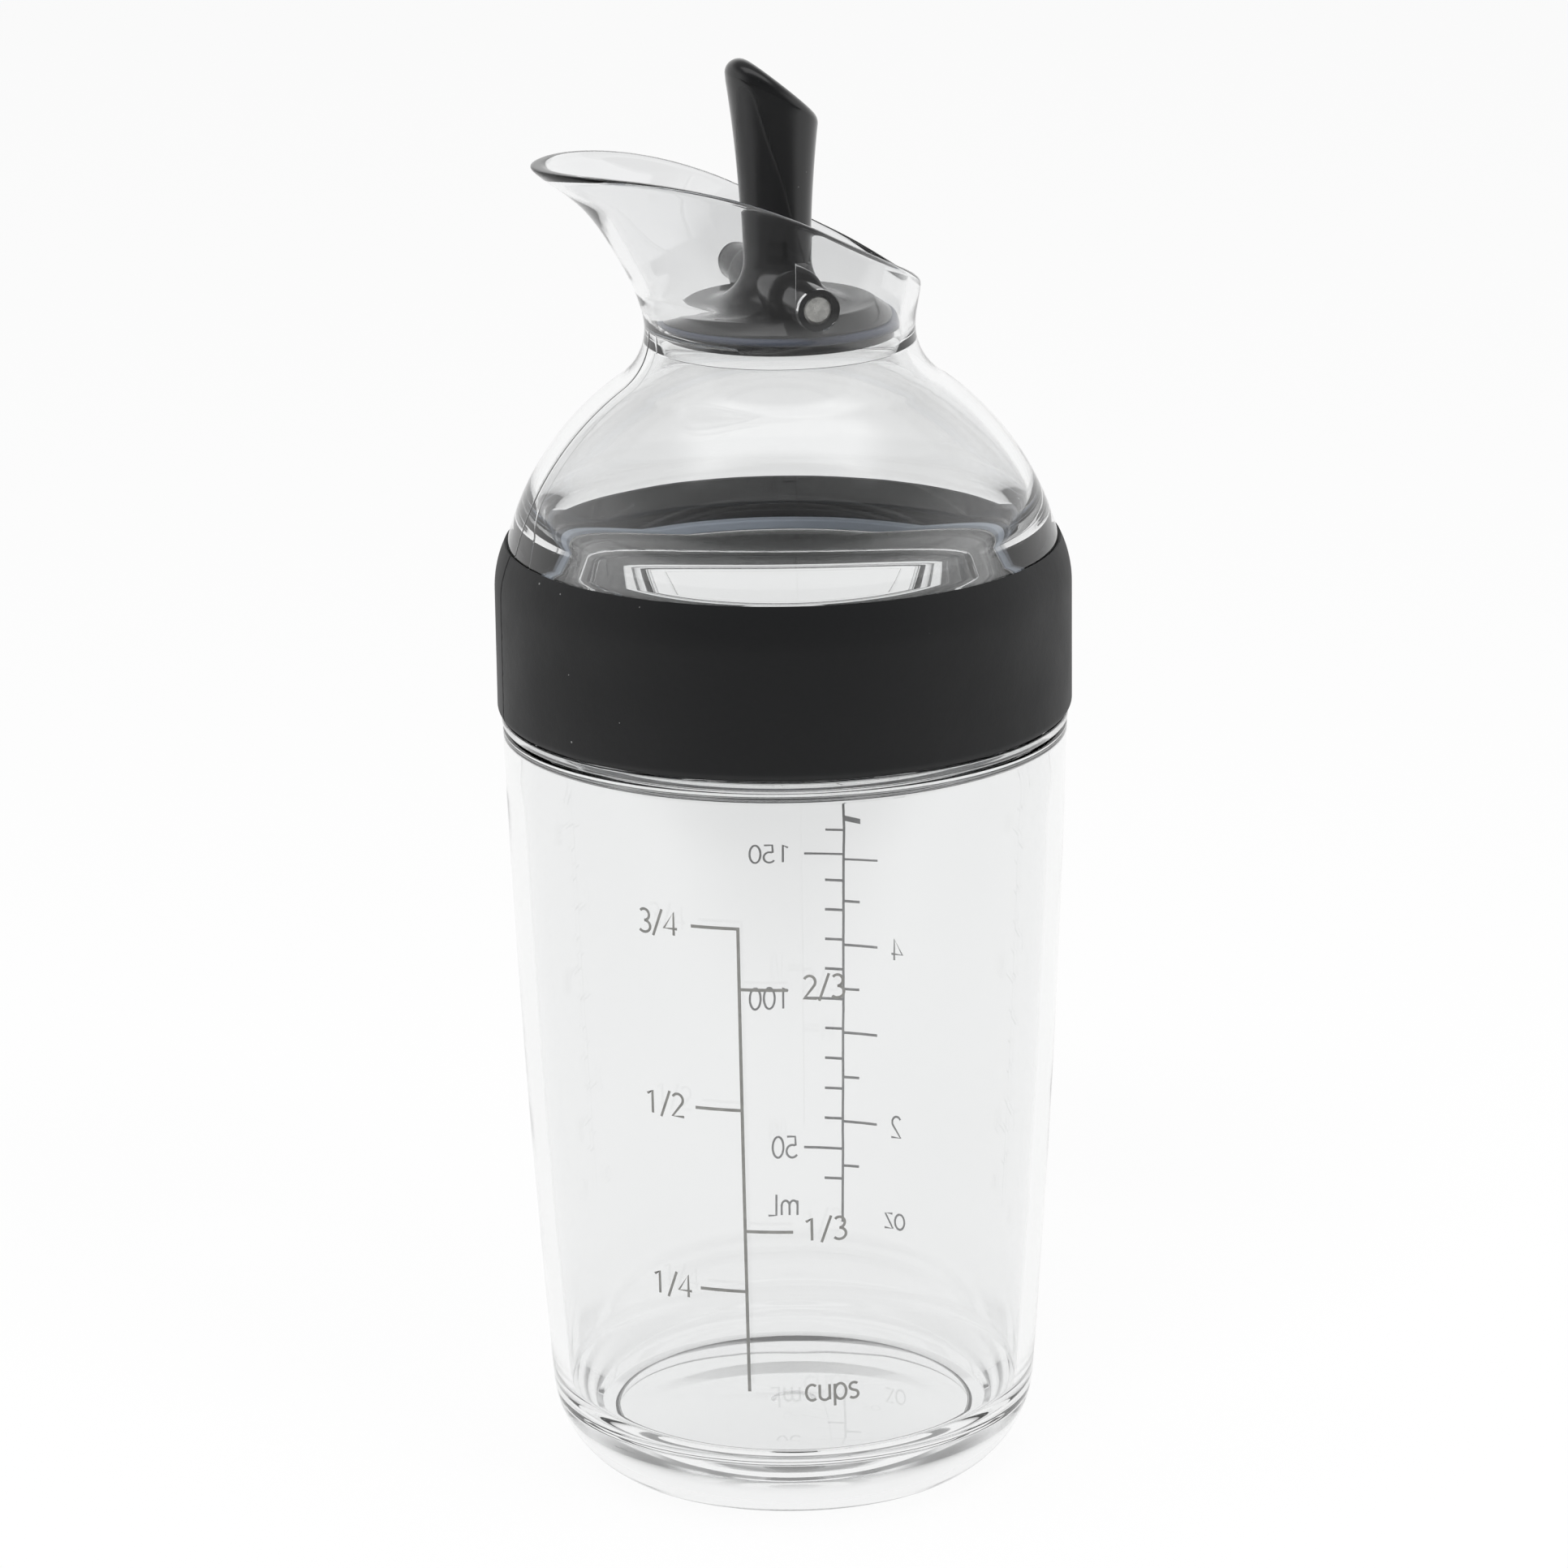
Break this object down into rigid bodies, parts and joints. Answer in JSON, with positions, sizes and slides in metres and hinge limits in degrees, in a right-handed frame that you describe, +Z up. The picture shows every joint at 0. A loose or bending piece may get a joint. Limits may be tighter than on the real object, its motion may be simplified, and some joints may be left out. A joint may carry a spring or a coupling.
{
  "type": "dressing shaker bottle",
  "caption": "Clear tapered shaker bottle with a screw-on domed lid, a pouring spout closed by a tilting lever stopper, and a soft grip band.",
  "frame": {"origin": "on the bottle's axis, on the surface it stands on", "axes": "+Z up along the bottle's axis; the spout points along -X; the lever's hinge pin lies along Y"},
  "size_m": [0.068, 0.068, 0.1709],
  "materials": {
    "tumbler_clear": "polished clear plastic",
    "lid_clear": "polished clear plastic",
    "band_rubber": "matte soft grip",
    "gasket_silicone": "translucent silicone",
    "lever_black": "polished moulding",
    "pin_steel": "cut stainless wire",
    "seal_silicone": "soft silicone",
    "retainer_black": "plain moulding"
  },
  "bodies": {
    "tumbler": {"tumbler": "tumbler_clear"},
    "gasket": {"lid_gasket": "gasket_silicone"},
    "lid": {"lid_shell": "lid_clear", "grip_band": "band_rubber"},
    "lever": {"pour_lever": "lever_black", "hinge_pin": "pin_steel", "stopper_seal": "seal_silicone", "seal_retainer": "retainer_black"}
  },
  "joints": [
    {"name": "lid_rise", "type": "slide", "parent": "tumbler", "child": "gasket", "axis": [0, 0, 1], "range_m": [0, 0.0048]},
    {"name": "lid_turn", "type": "hinge", "parent": "gasket", "child": "lid", "pos_m": [0, 0, 0.1], "axis": [0, 0, 1], "range_deg": [0, 340]},
    {"name": "lever_tilt", "type": "hinge", "parent": "lid", "child": "lever", "pos_m": [-0.0006, 0, 0.14377], "axis": [0, 1, 0], "range_deg": [0, 45]}
  ],
  "couplings": [
    {"joint": "lid_rise", "follows": "lid_turn", "m_per_rad": 0.00079577}
  ]
}
